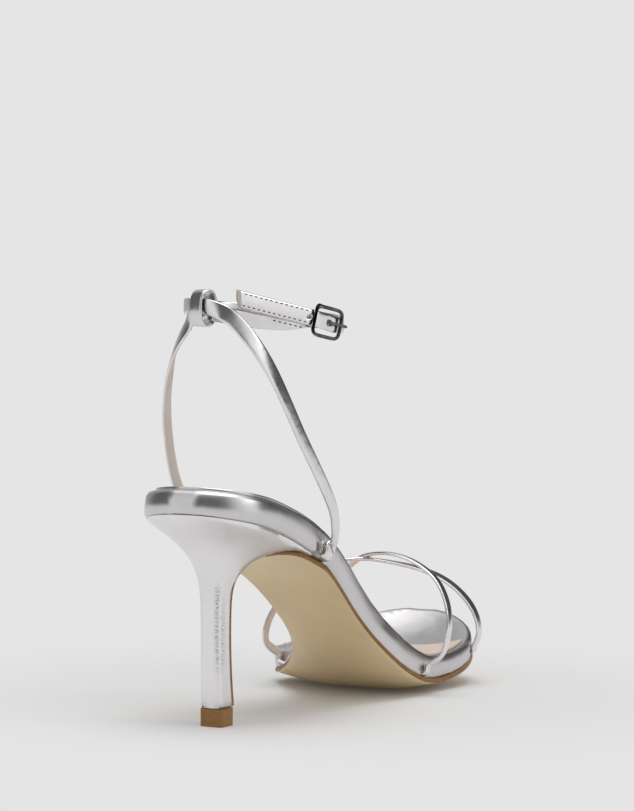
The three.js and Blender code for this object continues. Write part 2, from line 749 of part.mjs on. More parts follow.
const rearStrap = toeStrap(rearToeStrap, toeStrapExits.rear);
const frontStrap = toeStrap(frontToeStrap, toeStrapExits.front);
footbedSolid = footbedSolid.subtract(rearStrap.room).subtract(frontStrap.room);
addPiece('toe_straps', geometryOf(rearStrap.solid.add(frontStrap.solid)), materials.silver);

// Loop: an oval band at the back of the ankle, round the sling and the ankle strap

const loopTurn = THREE.MathUtils.degToRad(-112);
const loopAhead = -13.5;
const loopAside = -0.5;
const loopDrop = 0.4;
const slingInLoop = 1.3;         // the straps' middles, either side of the loop's own
const ankleInLoop = 1.2;
const loopRoundness = 2.6;
const loopSides = 28;
const loopCentre = new THREE.Vector3(loopAhead, loopAside, ankleHeight - loopDrop);
const loopAxis = new THREE.Vector3(Math.cos(loopTurn), Math.sin(loopTurn), 0);
const loopOutward = new THREE.Vector3(loopAxis.y, -loopAxis.x, 0);
const upward = new THREE.Vector3(0, 0, 1);

function inLoop(outward, along, up) {
  return loopCentre.clone().addScaledVector(loopOutward, outward)
    .addScaledVector(loopAxis, along).addScaledVector(upward, up);
}

const loopRoom = 6 * fitGap;
const loopHollowDepth = slingInLoop + ankleInLoop + (slingThickness + ankleThickness) / 2 + loopRoom;

function loopFrames() {
  const frames = [];
  for (let i = 0; i < loopSides; i += 1) {
    const turn = (2 * Math.PI * i) / loopSides;
    const power = 2 / loopRoundness;
    const depth = (loopHollowDepth + loopThickness) / 2;
    const height = (loopHollowHeight + loopThickness) / 2;
    const c = Math.cos(turn);
    const s = Math.sin(turn);
    const outward = depth * Math.sign(c) * Math.abs(c) ** power;
    const up = height * Math.sign(s) * Math.abs(s) ** power;
    const out = loopOutward.clone().multiplyScalar(c / depth).addScaledVector(upward, s / height);
    frames.push({ centre: inLoop(outward, 0, up), out: out.normalize(), across: loopAxis });
  }
  return frames;
}

const loopOutline = stripOutline(loopWidth, loopThickness);
addPiece('keeper_loop', sweep(loopFrames(), loopOutline, true), materials.silver);

// Sling: one strap from the outer waist, up through the loop and down to the inner
// waist. up is a share of the way from its exits to the ankle's height.

const slingOuterRise = [
  { along: 0.319, aside: -0.349, up: 0.060 },
  { along: 0.314, aside: -0.368, up: 0.096 },
  { along: 0.306, aside: -0.383, up: 0.135 },
  { along: 0.294, aside: -0.393, up: 0.190 },
  { along: 0.272, aside: -0.400, up: 0.250 },
  { along: 0.220, aside: -0.403, up: 0.370 },
  { along: 0.165, aside: -0.389, up: 0.515 },
  { along: 0.111, aside: -0.342, up: 0.720 },
  { along: 0.084, aside: -0.278, up: 0.843 },
  { along: 0.065, aside: -0.206, up: 0.928 },
  { along: 0.051, aside: -0.143, up: 0.977 },
];
const slingInnerRise = [
  { along: 0.082, aside: 0.106, up: 0.935 },
  { along: 0.088, aside: 0.158, up: 0.888 },
  { along: 0.101, aside: 0.222, up: 0.825 },
  { along: 0.127, aside: 0.297, up: 0.724 },
  { along: 0.155, aside: 0.358, up: 0.615 },
  { along: 0.178, aside: 0.389, up: 0.501 },
  { along: 0.201, aside: 0.407, up: 0.392 },
  { along: 0.225, aside: 0.410, up: 0.285 },
  { along: 0.256, aside: 0.398, up: 0.190 },
  { along: 0.286, aside: 0.368, up: 0.120 },
  { along: 0.305, aside: 0.318, up: 0.070 },
];
const slingInside = [
  { along: 0.46, rise: 0.10 },
  { along: 0.00, rise: 0.19 },
  { along: -0.46, rise: 0.07 },
];
const turnShare = 0.125;         // the sling turns from sideways to backward behind this share

function slingRoute() {
  const exit = seatBack + slingReach;
  const foot = undersideHeight(exit);
  const middle = seatBack + turnShare * lastLength;
  const free = (rows) => rows.map((row) => {
    const at = new THREE.Vector3(seatBack + row.along * lastLength, row.aside * ballWidth,
      foot + row.up * (ankleHeight - foot));
    return { at, out: new THREE.Vector3(Math.min(0, at.x - middle), at.y, 0).normalize() };
  });
  const through = slingInside.map((row) => ({
    at: inLoop(slingInLoop, row.along * loopWidth, row.rise * slingWidth),
    out: loopOutward,
  }));
  return [
    ...lastedEnd(exit, -1, slingThickness),
    ...free(slingOuterRise),
    ...through,
    ...free(slingInnerRise),
    ...lastedEnd(exit, 1, slingThickness).reverse(),
  ];
}

const slingFrames = routeFrames(slingRoute());
const slingPocket = pocketOutline(slingWidth, slingThickness);
footbedSolid = footbedSolid.subtract(solidOf(sweep(slingFrames, slingPocket)));
addPiece('sling_strap', sweep(slingFrames, stripOutline(slingWidth, slingThickness)), materials.silver);
addPiece('footbed', geometryOf(footbedSolid), materials.silver);

// Buckle: a rounded frame whose rear rod carries the strap's folded end and the prong.
// Places on it are given along the strap, out from the ankle and up the rod.

const buckleAhead = 23.4;
const buckleAside = -31;
const buckleDrop = 4.9;
const buckleTurn = THREE.MathUtils.degToRad(-35);
const bucklePitch = THREE.MathUtils.degToRad(-12);
const buckleCentre = new THREE.Vector3(buckleAhead, buckleAside, ankleHeight - buckleDrop);
const buckleRun = new THREE.Vector3(
  Math.cos(bucklePitch) * Math.cos(buckleTurn),
  Math.cos(bucklePitch) * Math.sin(buckleTurn),
  Math.sin(bucklePitch),
);
const buckleOut = new THREE.Vector3(Math.sin(buckleTurn), -Math.cos(buckleTurn), 0);
const buckleUp = new THREE.Vector3().crossVectors(buckleOut, buckleRun);

function atBuckle(along, out, up = 0) {
  return buckleCentre.clone().addScaledVector(buckleRun, along)
    .addScaledVector(buckleOut, out).addScaledVector(buckleUp, up);
}

const rodRadius = buckleRod / 2;
const rearRod = rodRadius - buckleLength / 2;
const rodSides = 8;
const cornerSteps = 4;

function roundOutline(radius, sides) {
  return Array.from({ length: sides }, (_, i) => {
    const turn = (2 * Math.PI * (i + 0.5)) / sides;
    return [radius * Math.cos(turn), radius * Math.sin(turn)];
  });
}

function frameRod() {
  const frames = [];
  const halfLength = buckleLength / 2 - rodRadius - buckleCorner;
  const halfHeight = buckleHeight / 2 - rodRadius - buckleCorner;
  const corners = [[1, 1], [-1, 1], [-1, -1], [1, -1]];
  corners.forEach(([alongSide, upSide], corner) => {
    for (let i = 0; i <= cornerSteps; i += 1) {
      const turn = (Math.PI / 2) * (corner + i / cornerSteps);
      const along = alongSide * halfLength + buckleCorner * Math.cos(turn);
      const up = upSide * halfHeight + buckleCorner * Math.sin(turn);
      const across = buckleRun.clone().multiplyScalar(Math.cos(turn))
        .addScaledVector(buckleUp, Math.sin(turn));
      frames.push({ centre: atBuckle(along, 0, up), across, out: buckleOut });
    }
  });
  return frames;
}

// The frame's rear corners carry a bail, a second rod that arches over the free end.

const foldRadius = rodRadius + fitGap + ankleThickness / 2;
const overRod = foldRadius + ankleThickness + fitGap;
const bailOut = overRod + ankleThickness / 2 + 2 * fitGap + bailRod / 2;
const sideRod = buckleHeight / 2 - rodRadius;
const bailLeg = [
  { back: -0.9, out: 0.00, up: 1.00 },
  { back: 0.20, out: 0.55, up: 1.00 },
  { back: 1.00, out: 1.00, up: 0.80 },
  { back: 1.00, out: 1.00, up: 0.30 },
];

function bailRoute() {
  const leg = (side) => bailLeg.map((row) => ({
    at: atBuckle(rearRod - row.back * bailReach, row.out * bailOut, side * row.up * sideRod),
    out: buckleRun,
  }));
  return [...leg(1), ...leg(-1).reverse()];
}

const frameSolid = solidOf(sweep(frameRod(), roundOutline(rodRadius, rodSides), true))
  .add(solidOf(sweep(routeFrames(bailRoute()), roundOutline(bailRod / 2, rodSides))));
addPiece('buckle_frame', geometryOf(frameSolid), materials.nickel);

// Prong: an eye round the rear rod and a pin that rests on the front rod

const prongRadius = prongRod / 2;
const eyeSteps = 12;
const pinRest = [
  { along: -0.147, lift: 0.75 },
  { along: 0.308, lift: 1.00 },
];
const pinTipLift = 0.8;

function prongSolid(extra) {
  const eyeRadius = rodRadius + fitGap + prongRadius;
  const eye = [];
  for (let i = 0; i < eyeSteps; i += 1) {
    const turn = (2 * Math.PI * i) / eyeSteps;
    const across = buckleRun.clone().multiplyScalar(Math.cos(turn))
      .addScaledVector(buckleOut, Math.sin(turn));
    const centre = atBuckle(rearRod + eyeRadius * Math.cos(turn), eyeRadius * Math.sin(turn));
    eye.push({ centre, across, out: buckleUp });
  }
  const lift = rodRadius + fitGap + prongRadius;
  const pin = [
    { at: atBuckle(rearRod + eyeRadius, 0), out: buckleOut },
    ...pinRest.map((row) => ({
      at: atBuckle(row.along * buckleLength, row.lift * lift),
      out: buckleOut,
    })),
    { at: atBuckle(buckleLength / 2 + prongOverhang, pinTipLift * lift), out: buckleOut },
  ];
  const outline = roundOutline(prongRadius + extra, rodSides);
  return solidOf(sweep(eye, outline, true)).add(solidOf(sweep(routeFrames(pin), outline)));
}

addPiece('buckle_prong', geometryOf(prongSolid(0)), materials.nickel);

// Ankle strap: one strap from the fold round the buckle's rear rod, through the loop,
// round the ankle and back through the buckle to its free end.

// The ring, from the fold to the loop and from the loop to the buckle's front rod.
// ahead is a share of ankleDepth, aside of ankleSpan and drop of ankleWidth.

const ankleRing = [
  { ahead: 0.139, aside: -0.377, drop: 0.82 },
  { ahead: 0.049, aside: -0.283, drop: 0.77 },
  { ahead: -0.049, aside: -0.193, drop: 0.65 },
  { ahead: -0.128, aside: -0.137, drop: 0.48 },
  { ahead: -0.179, aside: -0.108, drop: 0.40 },
];
const ankleRound = [
  { ahead: -0.096, aside: 0.140, drop: -0.05 },
  { ahead: -0.019, aside: 0.228, drop: -0.08 },
  { ahead: 0.139, aside: 0.333, drop: -0.05 },
  { ahead: 0.306, aside: 0.405, drop: -0.08 },
  { ahead: 0.486, aside: 0.437, drop: -0.08 },
  { ahead: 0.639, aside: 0.393, drop: 0.00 },
  { ahead: 0.743, aside: 0.250, drop: 0.10 },
  { ahead: 0.785, aside: 0.050, drop: 0.30 },
  { ahead: 0.750, aside: -0.167, drop: 0.53 },
  { ahead: 0.660, aside: -0.358, drop: 0.73 },
  { ahead: 0.535, aside: -0.493, drop: 0.90 },
];
const insideLoop = [
  { along: 0.62, rise: -0.27 },
  { along: 0.00, rise: -0.13 },
  { along: -0.62, rise: 0.00 },
];
const foldedEnd = [
  { along: 1.0, rise: -0.43 },
  { along: 0.6, rise: -0.20 },
];
const freeEnd = [
  { along: 0.35, lift: 0.23 },
  { along: 0.70, lift: 0.31 },
  { along: 1.00, lift: 0.77 },
];
const coreAhead = 0.29;
const coreAside = -0.07;
const ankleCore = new THREE.Vector3(coreAhead * ankleDepth, coreAside * ankleSpan, 0);

function ankleRoute() {
  const layer = (ankleThickness + fitGap) / 2;
  const inward = buckleOut.clone().negate();
  const free = (rows) => rows.map((row) => {
    const at = new THREE.Vector3(row.ahead * ankleDepth, row.aside * ankleSpan,
      ankleHeight - row.drop * ankleWidth);
    return { at, out: at.clone().sub(ankleCore).setZ(0).normalize() };
  });
  const folded = (row, side) => ({
    at: atBuckle(rearRod - row.along * foldLength, side * layer, row.rise * ankleWidth),
    out: side > 0 ? buckleOut : inward,
  });
  const roundRod = [-90, -45, 0, 45, 90].map((degrees) => {
    const turn = THREE.MathUtils.degToRad(degrees);
    return {
      at: atBuckle(rearRod + foldRadius * Math.cos(turn), foldRadius * Math.sin(turn)),
      out: buckleRun.clone().multiplyScalar(Math.cos(turn)).addScaledVector(buckleOut, Math.sin(turn)),
    };
  });
  return [
    ...foldedEnd.map((row) => folded(row, -1)),
    ...roundRod,
    folded(foldedEnd[1], 1),
    ...free(ankleRing),
    ...insideLoop.map((row) => ({
      at: inLoop(-ankleInLoop, row.along * loopWidth, row.rise * ankleWidth),
      out: loopOutward,
    })),
    ...free(ankleRound),
    { at: atBuckle(-rearRod, -foldRadius), out: buckleOut },
    { at: atBuckle(0, (overRod - foldRadius) / 2), out: buckleOut },
    { at: atBuckle(rearRod, overRod), out: buckleOut },
    ...freeEnd.map((row) => ({
      at: atBuckle(-row.along * tailLength, overRod + row.lift * ankleThickness),
      out: buckleOut,
    })),
  ];
}

const ankleFrames = routeFrames(ankleRoute());
ankleFrames.at(-1).across.addScaledVector(buckleRun, -tailSlant);
const punchSides = 12;
const punchLength = 3 * ankleThickness;
const punch = new THREE.CylinderGeometry(punchedHole / 2, punchedHole / 2, punchLength, punchSides)
  .rotateX(Math.PI / 2)
  .applyMatrix4(new THREE.Matrix4().makeBasis(buckleRun, buckleUp, buckleOut)
    .setPosition(atBuckle(-punchedReach, overRod)));
const ankleSolid = solidOf(sweep(ankleFrames, stripOutline(ankleWidth, ankleThickness)))
  .subtract(prongSolid(fitGap)).subtract(solidOf(punch));
addPiece('ankle_strap', geometryOf(ankleSolid), materials.silver);

export default sandal;
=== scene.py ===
import math

import bmesh
import bpy
from mathutils import Matrix, Vector


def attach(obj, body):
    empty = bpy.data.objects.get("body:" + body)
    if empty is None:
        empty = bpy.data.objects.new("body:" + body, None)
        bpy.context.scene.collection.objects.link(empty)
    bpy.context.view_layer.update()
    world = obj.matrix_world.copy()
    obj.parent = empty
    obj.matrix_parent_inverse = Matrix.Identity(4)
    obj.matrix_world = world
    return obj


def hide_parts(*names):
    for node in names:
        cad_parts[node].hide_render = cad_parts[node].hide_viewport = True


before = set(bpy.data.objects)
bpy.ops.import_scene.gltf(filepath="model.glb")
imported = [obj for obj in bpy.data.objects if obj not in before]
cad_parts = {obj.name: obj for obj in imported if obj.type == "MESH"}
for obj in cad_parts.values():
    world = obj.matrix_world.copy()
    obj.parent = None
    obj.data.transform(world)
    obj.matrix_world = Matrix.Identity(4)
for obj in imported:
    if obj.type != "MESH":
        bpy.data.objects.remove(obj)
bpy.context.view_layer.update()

# Camera. It stands low behind the shoe on its outer side and looks along the sole to
# the toe. Its place and turn come from the heel, the sole and the straps as seen.

image_height = 811
sensor_side = 36
focal_pixels = 2675.4
look_along = Vector((0.89043318, 0.45451316, -0.02337821))
look_up = Vector((0.01588182, 0.02030468, 0.99966769))
camera_place = Vector((-0.83745, -0.46654, 0.13779))

camera_data = bpy.data.cameras.new("camera")
camera_data.sensor_fit = "VERTICAL"
camera_data.sensor_height = sensor_side
camera_data.lens = focal_pixels * sensor_side / image_height
camera = bpy.data.objects.new("camera", camera_data)
bpy.context.scene.collection.objects.link(camera)
back = -look_along.normalized()
across = look_up.cross(back).normalized()
upright = back.cross(across)
camera.matrix_world = Matrix.Translation(camera_place) @ Matrix(
    (across, upright, back)).transposed().to_4x4()
bpy.context.scene.camera = camera

# Heel: a slim moulded core wrapped in silver foil leather, drawn tight and glued. The
# foil mirrors the studio softly. It has a fine grain and small pulls, and it creases
# along the stem's outer rear corner.

wide_spread, narrow_spread = (0.3, 0.7), (0.35, 0.65)
wear_detail, wear_reach = 4.0, 2.5
smoothest, roughest = 0.85, 1.25
pull_strength = 0.6
grain_strength, grain_depth = 0.25, 0.00006
grain_detail, grain_roughness = 3.0, 0.6

crease_near, crease_far = 0.0012, 0.0038
crease_full_share = 0.6
crease_squeeze = (1.0, 1.0, 2.4)
crease_scale = 620.0
crease_strength, crease_depth = 0.6, 0.0005

weld_distance = 0.00001
flat_angle, square_angle = math.radians(35), math.radians(50)
fold_angle = math.radians(50)
glue_swell = 0.00011


def linear(hex_colour):
    """The sRGB colour #rrggbb as linear red, green, blue and alpha."""
    channels = []
    for start in (1, 3, 5):
        value = int(hex_colour[start:start + 2], 16) / 255
        channels.append(value / 12.92 if value <= 0.04045 else ((value + 0.055) / 1.055) ** 2.4)
    return (*channels, 1.0)


def grey(value):
    return (value, value, value, 1.0)


def new_material(name):
    material = bpy.data.materials.new(name)
    material.use_nodes = True
    return material


def shader_of(material):
    return material.node_tree.nodes["Principled BSDF"]


def feed(owner, node, inputs):
    """Fills a node's inputs. An input may be a value or another node's socket."""
    for key, value in inputs.items():
        if isinstance(value, bpy.types.NodeSocket):
            owner.node_tree.links.new(value, node.inputs[key])
        else:
            node.inputs[key].default_value = value


def add_node(owner, kind, settings=None, inputs=None):
    """A node with its settings and inputs, in a material or in the world."""
    made = owner.node_tree.nodes.new(kind)
    for key, value in (settings or {}).items():
        setattr(made, key, value)
    feed(owner, made, inputs or {})
    return made


def calculate(owner, operation, *values):
    return add_node(owner, "ShaderNodeMath", {"operation": operation},
                    dict(enumerate(values))).outputs["Value"]


def vector_step(owner, operation, *vectors):
    return add_node(owner, "ShaderNodeVectorMath", {"operation": operation},
                    dict(enumerate(vectors))).outputs


def smooth_step(owner, value, start, end, first=0.0, last=1.0):
    """Goes smoothly from first to last while the value goes from start to end."""
    return add_node(owner, "ShaderNodeMapRange", {"interpolation_type": "SMOOTHSTEP"}, {
        "Value": value, "From Min": start, "From Max": end,
        "To Min": first, "To Max": last}).outputs["Result"]


def distance_from(owner, place, middle, counted=(1.0, 1.0, 1.0)):
    """How far the place is from the middle, along the axes that are counted."""
    away = vector_step(owner, "SUBTRACT", place, middle)["Vector"]
    kept = vector_step(owner, "MULTIPLY", away, counted)["Vector"]
    return vector_step(owner, "LENGTH", kept)["Value"]


def object_place(material):
    return add_node(material, "ShaderNodeTexCoord").outputs["Object"]


def noise(material, place, scale, detail=2.0, roughness=0.5):
    return add_node(material, "ShaderNodeTexNoise", inputs={
        "Vector": place, "Scale": scale, "Detail": detail,
        "Roughness": roughness}).outputs["Fac"]


def bump(material, height, strength, depth, normal=None):
    """The normal of a skin raised by the height, over another normal where one is given."""
    inputs = {"Strength": strength, "Distance": depth, "Height": height}
    if normal is not None:
        inputs["Normal"] = normal
    return add_node(material, "ShaderNodeBump", inputs=inputs).outputs["Normal"]


def colour_ramp(owner, factor, stops):
    made = add_node(owner, "ShaderNodeValToRGB", inputs={"Fac": factor})
    ramp = made.color_ramp
    while len(ramp.elements) < len(stops):
        ramp.elements.new(0.5)
    for element, (place, colour) in zip(ramp.elements, stops):
        element.position = place
        element.color = colour
    return made.outputs["Color"]


def crumple(material, place, normal, ahead, aside, low, high):
    """Short creases that lie across an upright corner and fade away from it."""
    distance = distance_from(material, place, (ahead, aside, 0.0), counted=(1.0, 1.0, 0.0))
    near = smooth_step(material, distance, crease_near, crease_far, first=1.0, last=0.0)
    height = add_node(material, "ShaderNodeSeparateXYZ", inputs={"Vector": place}).outputs["Z"]
    middle, reach = (low + high) / 2, (high - low) / 2
    off_middle = calculate(material, "ABSOLUTE", calculate(material, "SUBTRACT", height, middle))
    between = smooth_step(
        material, off_middle, reach * crease_full_share, reach, first=1.0, last=0.0)
    squeezed = vector_step(material, "MULTIPLY", place, crease_squeeze)["Vector"]
    creases = noise(material, squeezed, crease_scale)
    raised = calculate(
        material, "MULTIPLY", creases, calculate(material, "MULTIPLY", near, between))
    return bump(material, raised, crease_strength, crease_depth, normal)


def foil_leather(name, light, dark, roughness, grain, pull, pull_depth, corner=None):
    """Silver foil on smooth leather: a metal skin with fine grain and soft pulls. Along
    an upright corner, given by its place and the heights it runs between, it crumples."""
    material = new_material(name)
    place = object_place(material)
    low, high = wide_spread
    wear = noise(material, place, 1 / (pull * wear_reach), wear_detail)
    pulled = bump(material, noise(material, place, 1 / pull), pull_strength, pull_depth)
    grained = noise(material, place, 1 / grain, grain_detail, grain_roughness)
    normal = bump(material, grained, grain_strength, grain_depth, pulled)
    if corner:
        normal = crumple(material, place, normal, **corner)
    feed(material, shader_of(material), {
        "Metallic": 1.0,
        "Base Color": colour_ramp(material, wear, [(low, linear(dark)), (high, linear(light))]),
        "Roughness": colour_ramp(material, wear, [
            (low, grey(roughness * smoothest)), (high, grey(roughness * roughest))]),
        "Normal": normal})
    return material


def make_active(piece):
    bpy.ops.object.select_all(action="DESELECT")
    piece.select_set(True)
    bpy.context.view_layer.objects.active = piece


def dressed(node, name, material, levels=0, crease=0.0, swell=0.0):
    """A smooth skin on a node's own shape: its triangles are joined into four-sided
    faces and it is subdivided, with its folds held by the crease. A swell brings glued
    pieces together."""
    skin = bpy.data.objects.new(name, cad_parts[node].data.copy())
    skin.data.name = name
    skin.data.materials.clear()
    bpy.context.scene.collection.objects.link(skin)
    make_active(skin)
    bpy.ops.object.mode_set(mode="EDIT")
    bpy.ops.mesh.select_all(action="SELECT")
    bpy.ops.mesh.remove_doubles(threshold=weld_distance)
    bpy.ops.mesh.tris_convert_to_quads(face_threshold=flat_angle, shape_threshold=square_angle)
    if swell:
        bpy.ops.transform.shrink_fatten(value=swell)
    bpy.ops.mesh.select_all(action="DESELECT")
    bpy.ops.mesh.select_mode(type="EDGE")
    bpy.ops.mesh.edges_select_sharp(sharpness=fold_angle)
    bpy.ops.object.mode_set(mode="OBJECT")
    if levels:
        folds = [edge.index for edge in skin.data.edges if edge.select]
        held = skin.data.attributes.new("crease_edge", "FLOAT", "EDGE")
        for index in folds:
            held.data[index].value = crease
        smooth = skin.modifiers.new("smooth", "SUBSURF")
        smooth.levels = levels
        smooth.render_levels = levels
        bpy.ops.object.modifier_apply(modifier=smooth.name)
    bpy.ops.object.shade_smooth_by_angle(angle=fold_angle)
    skin.data.materials.append(material)
    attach(skin, "root")
    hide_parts(node)
    return skin


stem_corner = {"ahead": -0.0048, "aside": -0.0030, "low": 0.016, "high": 0.056}
heel_foil = foil_leather(
    "silver_heel_foil", light="#f6f4f5", dark="#e9e7e8", roughness=0.3,
    grain=0.0006, pull=0.014, pull_depth=0.00035, corner=stem_corner)
heel = dressed("heel", "heel_wrap", heel_foil, levels=1, crease=0.8, swell=glue_swell)

# Heel tip: a moulded rubber block pinned under the stem, worn a little dull.


def mottled(name, dark, light, cloud, shine, spread=wide_spread, relief=None):
    """A material whose colour drifts in clouds from dark to light. Relief is its grain's
    noise, strength and depth, and shine holds the shader's other inputs."""
    material = new_material(name)
    place = object_place(material)
    low, high = spread
    colour = colour_ramp(material, noise(material, place, **cloud), [(low, dark), (high, light)])
    feed(material, shader_of(material), {"Base Color": colour, **shine})
    if relief:
        grain = noise(material, place, relief["scale"], relief["detail"])
        feed(material, shader_of(material), {
            "Normal": bump(material, grain, relief["strength"], relief["depth"])})
    return material


rubber_speck = {"scale": 900.0, "detail": 4.0}
rubber = mottled(
    "moulded_brown_rubber", linear("#926633"), linear("#a3763e"), spread=narrow_spread,
    cloud=rubber_speck, relief={**rubber_speck, "strength": 0.3, "depth": 0.0001},
    shine={"Roughness": 0.5})

tip_rounding = 0.0004
tip = dressed("heel_tip", "heel_tip_block", rubber)
make_active(tip)
tip_bevel = tip.modifiers.new("rounded", "BEVEL")
tip_bevel.width = tip_rounding
tip_bevel.segments = 2
tip_bevel.limit_method = "ANGLE"
bpy.ops.object.modifier_apply(modifier=tip_bevel.name)

# Outsole: a sheet of smooth tan leather from the toe to the heel's tip, glued on last.
# Its cut edges are dyed brown and waxed.

sole_leather = mottled(
    "smooth_tan_sole_leather", linear("#dcc59a"), linear("#e5cfa5"),
    cloud={"scale": 45.0, "detail": 5.0},
    relief={"scale": 2200.0, "detail": 3.0, "strength": 0.25, "depth": 0.00008},
    shine={"Roughness": 0.45, "Coat Weight": 0.15, "Coat Roughness": 0.3})
edge_dye = mottled(
    "waxed_brown_edge", linear("#7c521f"), linear("#986529"), spread=narrow_spread,
    cloud={"scale": 600.0, "detail": 4.0}, shine={"Roughness": 0.4})

forefoot_start = 0.105
side_facing, tread_facing = 0.75, 0.6


def paint_faces(piece, material, chosen):
    """Gives a second material to the faces that chosen(centre, normal) picks."""
    piece.data.materials.append(material)
    index = len(piece.data.materials) - 1
    for face in piece.data.polygons:
        if chosen(face.center, face.normal):
            face.material_index = index


def on_sole_edge(centre, normal):
    upright_forward = centre.x > forefoot_start and abs(normal.z) < tread_facing
    return abs(normal.y) > side_facing or upright_forward


outsole = dressed("outsole", "outsole_sheet", sole_leather, levels=1, crease=0.9)
paint_faces(outsole, edge_dye, on_sole_edge)

# Footbed: a shaped board with its steel shank and cushion, wrapped in the silver foil
# leather that is lasted under its lower edge.

silver = foil_leather(
    "silver_foil_leather", light="#dedcdd", dark="#cbc9ca", roughness=0.28,
    grain=0.0006, pull=0.014, pull_depth=0.00035)
footbed = dressed("footbed", "footbed_wrap", silver, swell=glue_swell)

# Insole sock: a thin sheet of pale lining leather glued on the footbed. Its edge is
# bound in the foil round the seat and the waist.

bound_end = 0.1
bound_facing = 0.6


def lining_leather(name, dark, light):
    """Thin matt leather with open pores and a faint cloud in its colour."""
    return mottled(
        name, linear(dark), linear(light), cloud={"scale": 70.0, "detail": 3.0},
        relief={"scale": 1800.0, "detail": 3.0, "strength": 0.4, "depth": 0.0001},
        shine={"Roughness": 0.55})


def on_bound_edge(centre, normal):
    on_side = abs(normal.y) > bound_facing
    at_rear = normal.x < -bound_facing
    return centre.x < bound_end and (on_side or at_rear or normal.z < 0)


lining = lining_leather("pale_lining_leather", "#dfcbbc", "#e8d8cb")
sock = dressed("insole_sock", "insole_sock_sheet", lining, levels=1, crease=0.8)
paint_faces(sock, silver, on_bound_edge)

# Toe straps: two narrow bands of foil leather, lined, that cross over the toes. Their
# outer faces are crowned and their linings are pale.

foot_aside, foot_height = 0.0032, 0.0219
lining_facing = 0.75

strap_foil = foil_leather(
    "silver_strap_leather", light="#f0eeef", dark="#dddbdc", roughness=0.2,
    grain=0.0007, pull=0.007, pull_depth=0.0003)


def toward_foot(centre, normal):
    inward = Vector((0, foot_aside - centre.y, foot_height - centre.z)).normalized()
    return normal.dot(inward) > lining_facing


toe_straps = dressed("toe_straps", "toe_strap_pair", strap_foil, levels=2, crease=0.3)
paint_faces(toe_straps, lining, toward_foot)

# Sling: one band of foil leather from the outer waist, through the loop behind the
# ankle and down to the inner waist. Its lining is a warm grey.

strap_lining = lining_leather("grey_strap_lining", "#cdc3bb", "#dad2cb")


def toward_heel(centre, normal):
    inward = -Vector((min(0.0, centre.x), centre.y, 0.0)).normalized()
    return normal.dot(inward) > lining_facing


sling = dressed("sling_strap", "sling_band", strap_foil, levels=2, crease=0.3)
paint_faces(sling, strap_lining, toward_heel)

# Ankle strap: foil leather on both faces, folded and stitched round the buckle's bar,
# run through the loop and round the ankle. Its free end lies back over the outside.

ankle_strap = dressed("ankle_strap", "ankle_band", strap_foil, levels=2, crease=0.3)

# Free end: its cut edge shows raw pale leather, and a row of dark thread runs along each
# of its long edges, with a short row on the folded end under it. Each stitch sinks a
# little into the foil.

buckle_middle = Vector((0.0234, -0.031, 0.1451))
buckle_run = Vector((0.8013, -0.5610, -0.2079))
buckle_out = Vector((-0.5736, -0.8192, 0.0))
buckle_up = buckle_out.cross(buckle_run)
tail_end, tail_slant = 0.0382, 0.35
tail_reach = 0.006
upper_row = {"height": 0.0021, "first_stitch": 0.0112, "count": 13}
lower_row = {"height": -0.0021, "first_stitch": 0.0112, "count": 13}
folded_row = {"height": -0.0041, "first_stitch": 0.0110, "count": 6}
stitch_step = 0.0021
stitch_half, thread_radius = 0.00062, 0.00024
stitch_clearance = 0.02

raw_edge = mottled(
    "raw_leather_edge", linear("#b9b0a8"), linear("#d8cfc6"),
    cloud={"scale": 3000.0}, shine={"Roughness": 0.8})
thread = mottled(
    "dark_grey_thread", linear("#2c2b2c"), linear("#4c4b4c"),
    cloud={"scale": 5000.0}, shine={"Roughness": 0.6})


def on_tail_end(centre, normal):
    behind = (buckle_middle - centre).dot(buckle_run)
    raised = (centre - buckle_middle).dot(buckle_up)
    outward = (centre - buckle_middle).dot(buckle_out)
    return behind - tail_slant * raised > tail_end and 0 < outward < tail_reach


def laid_stitch(place, normal):
    """The matrix of one stitch: a slim bead along the strap, half sunk into its face."""
    along = (buckle_run - normal * buckle_run.dot(normal)).normalized()
    turn = Matrix((along, normal.cross(along), normal)).transposed().to_4x4()
    scale = Matrix.Diagonal((stitch_half, thread_radius, thread_radius, 1.0))
    return Matrix.Translation(place) @ turn @ scale


paint_faces(ankle_strap, raw_edge, on_tail_end)

bpy.context.view_layer.update()
stitches = bmesh.new()
for row in (lower_row, upper_row, folded_row):
    for number in range(row["count"]):
        behind = row["first_stitch"] + number * stitch_step
        seam = buckle_middle - buckle_run * behind + buckle_up * row["height"]
        start = seam + buckle_out * stitch_clearance
        hit, place, normal, _ = ankle_strap.ray_cast(start, -buckle_out)
        if hit:
            bmesh.ops.create_uvsphere(
                stitches, u_segments=10, v_segments=6, radius=1.0, matrix=laid_stitch(place, normal))
tail_thread = bpy.data.objects.new("tail_stitches", bpy.data.meshes.new("tail_stitches"))
stitches.to_mesh(tail_thread.data)
stitches.free()
tail_thread.data.shade_smooth()
tail_thread.data.materials.append(thread)
bpy.context.scene.collection.objects.link(tail_thread)
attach(tail_thread, "root")

# Loop: a band of the same leather closed on itself, that holds the sling and the ankle
# strap together.

loop = dressed("keeper_loop", "keeper_band", strap_foil, levels=2, crease=0.5)

# Buckle: a cast frame with rounded corners and a prong bent round its rear bar, plated
# in dark nickel. The bail over the free end is painted nearly black: a painted dark reflection on
# the same plate.

bail_out = 0.0026
plate_cloud = {"scale": 400.0, "detail": 3.0}


def plated(name, light, dark):
    """A polished plate over cast metal, clouded a little and softly uneven."""
    return mottled(
        name, linear(dark), linear(light), cloud=plate_cloud,
        relief={**plate_cloud, "strength": 0.2, "depth": 0.00008},
        shine={"Metallic": 1.0, "Roughness": 0.2})


# Picks the frame's outermost faces, the bail, for the painted dark reflection.
def on_painted_dark_bail(centre, normal):
    return (centre - buckle_middle).dot(buckle_out) > bail_out


